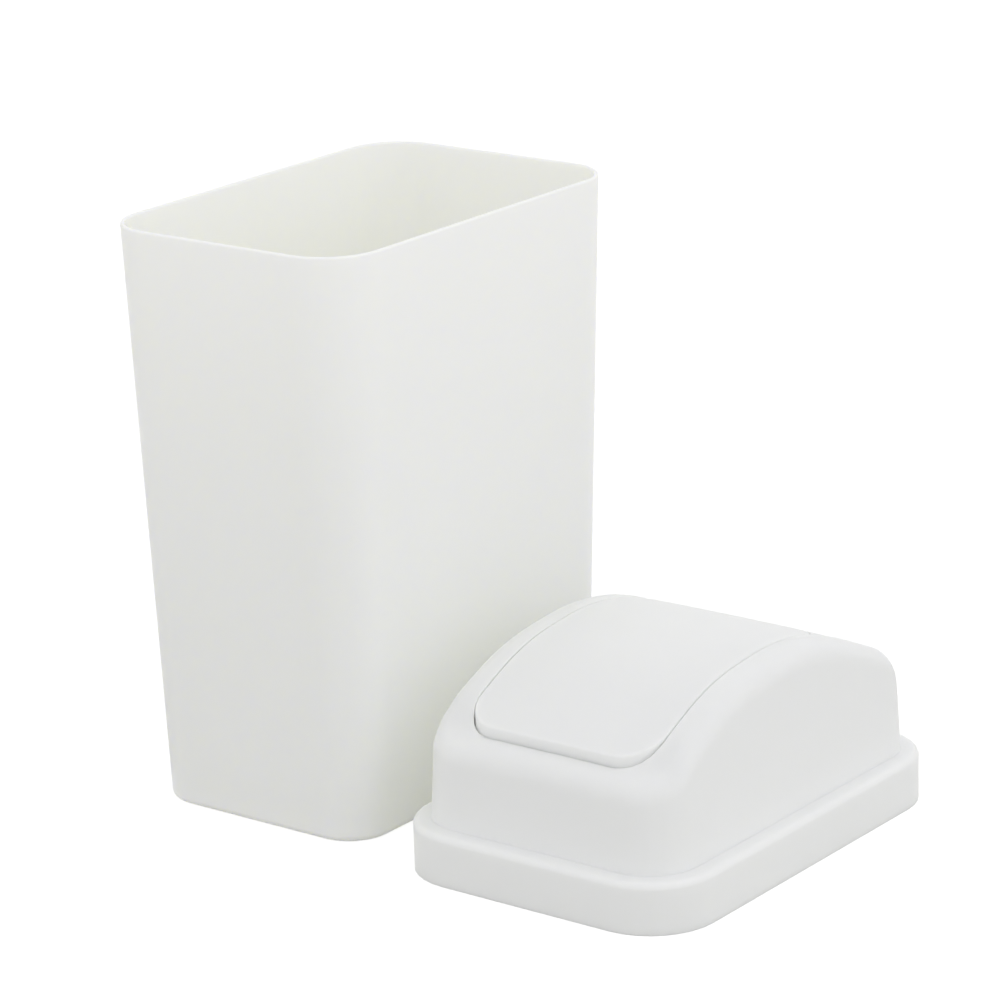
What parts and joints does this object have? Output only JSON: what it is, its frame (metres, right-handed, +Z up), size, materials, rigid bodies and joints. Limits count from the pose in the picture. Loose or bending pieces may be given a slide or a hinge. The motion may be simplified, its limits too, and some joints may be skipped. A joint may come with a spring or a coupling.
{
  "type": "countertop swing-lid bin",
  "caption": "Tapered rectangular countertop bin with a loose domed lid standing beside it, whose curved flap swings inwards on stub axles.",
  "frame": {"origin": "middle of the bin's flat underside, on the surface it stands on", "axes": "+Z up, -Y the side that the flap slopes down to, +X towards the lid that stands beside the bin"},
  "size_m": [0.2834, 0.202, 0.25],
  "materials": {
    "bin_plastic": "satin, warm white polypropylene",
    "lid_plastic": "fine matt, cool white polypropylene"
  },
  "bodies": {
    "bin": {"bin_body": "bin_plastic"},
    "lid": {"lid_hood": "lid_plastic"},
    "flap": {"swing_flap": "lid_plastic"}
  },
  "joints": [
    {"name": "lid_lift", "type": "slide", "parent": "bin", "child": "lid", "axis": [0, 0, 1], "range_m": [0, 0.3]},
    {"name": "flap_swing", "type": "hinge", "parent": "lid", "child": "flap", "pos_m": [0.1494, -0.0291, 0.07623], "axis": [1, 0, 0], "range_deg": [0, 70]}
  ]
}
